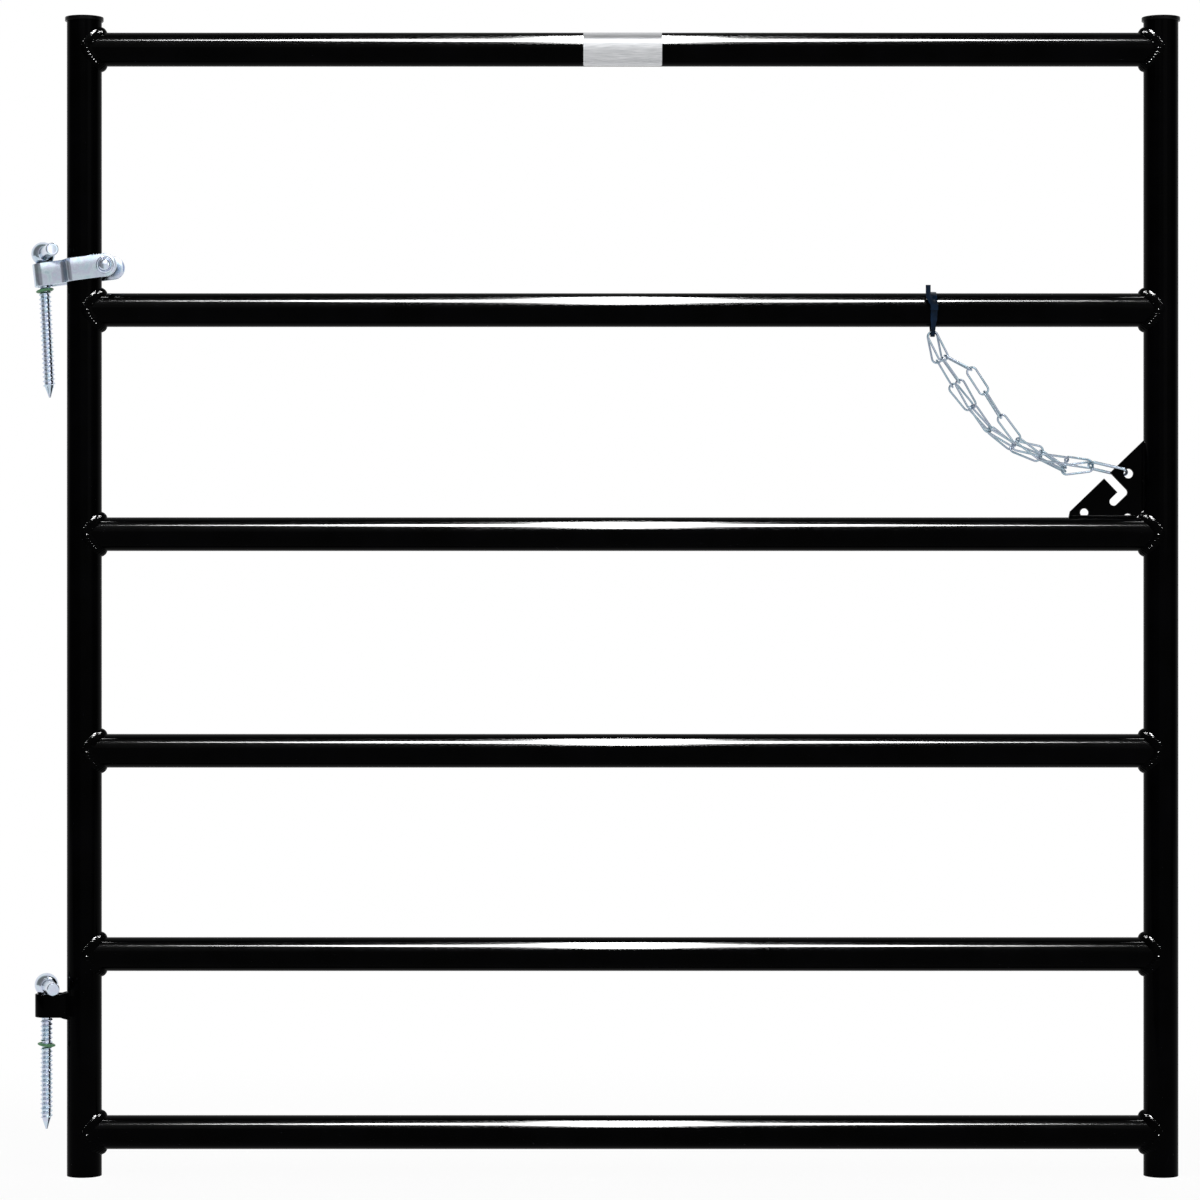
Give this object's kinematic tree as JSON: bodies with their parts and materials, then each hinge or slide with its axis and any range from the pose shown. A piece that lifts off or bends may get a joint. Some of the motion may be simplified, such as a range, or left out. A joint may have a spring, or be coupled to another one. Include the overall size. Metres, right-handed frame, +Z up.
{
  "type": "field gate",
  "caption": "Tubular steel field gate with coped welded rails, a clamped strap hinge, a welded eye, ball-shoulder screw hooks and a folded latch chain with a slotted plate.",
  "frame": {"origin": "on the lower screw hook's axis, where its free thread begins just under the retainer", "axes": "+X along the gate from the hinge side to the latch side, +Y away from the viewer, +Z up; the lower hook's thread runs down along -Z"},
  "size_m": [1.2607, 0.082, 1.2715],
  "materials": {
    "black_paint": "gloss black powder coat",
    "black_plastic": "moulded black plastic",
    "bright_zinc": "bright zinc plate with a faint chromate tint",
    "green_plastic": "moulded green plastic",
    "black_nylon": "moulded dark nylon"
  },
  "bodies": {
    "frame": {"hinge_upright": "black_paint", "latch_upright": "black_paint", "rail_1": "black_paint", "rail_2": "black_paint", "rail_3": "black_paint", "rail_4": "black_paint", "rail_5": "black_paint", "rail_6": "black_paint", "hinge_cap": "black_plastic", "latch_cap": "black_plastic", "hinge_side_welds": "black_paint", "latch_side_welds": "black_paint", "latch_plate": "black_paint", "latch_plate_welds": "black_paint", "lower_eye": "black_paint", "lower_eye_welds": "black_paint", "cable_tie": "black_nylon"},
    "strap_hinge": {"hinge_strap": "bright_zinc", "strap_bolt": "bright_zinc", "strap_washer": "bright_zinc", "strap_nut": "bright_zinc"},
    "upper_screw_hook": {"upper_hook": "bright_zinc", "upper_retainer": "green_plastic"},
    "lower_screw_hook": {"lower_hook": "bright_zinc", "lower_retainer": "green_plastic"},
    "chain": {"chain_strand_a": "bright_zinc", "chain_strand_b": "bright_zinc", "chain_strand_c": "bright_zinc", "chain_end_link": "bright_zinc"}
  },
  "joints": [
    {"name": "strap_slide", "type": "slide", "parent": "frame", "child": "strap_hinge", "axis": [0, 0, 1], "range_m": [-0.018, 0.195]},
    {"name": "upper_hook_swivel", "type": "hinge", "parent": "strap_hinge", "child": "upper_screw_hook", "pos_m": [-0.00429, 0.00401, 0.86948], "axis": [-0.0469, 0.0041, 0.9989], "range_deg": [-254, 24]},
    {"name": "lower_hook_swivel", "type": "hinge", "parent": "frame", "child": "lower_screw_hook", "pos_m": [0, 0, 0], "axis": [0, 0, 1], "range_deg": [-246, 32]},
    {"name": "chain_sway", "type": "hinge", "parent": "frame", "child": "chain", "pos_m": [0.9719, 0, 0.77896], "axis": [0.8166, 0, -0.5772], "range_deg": [-5, 10]}
  ]
}
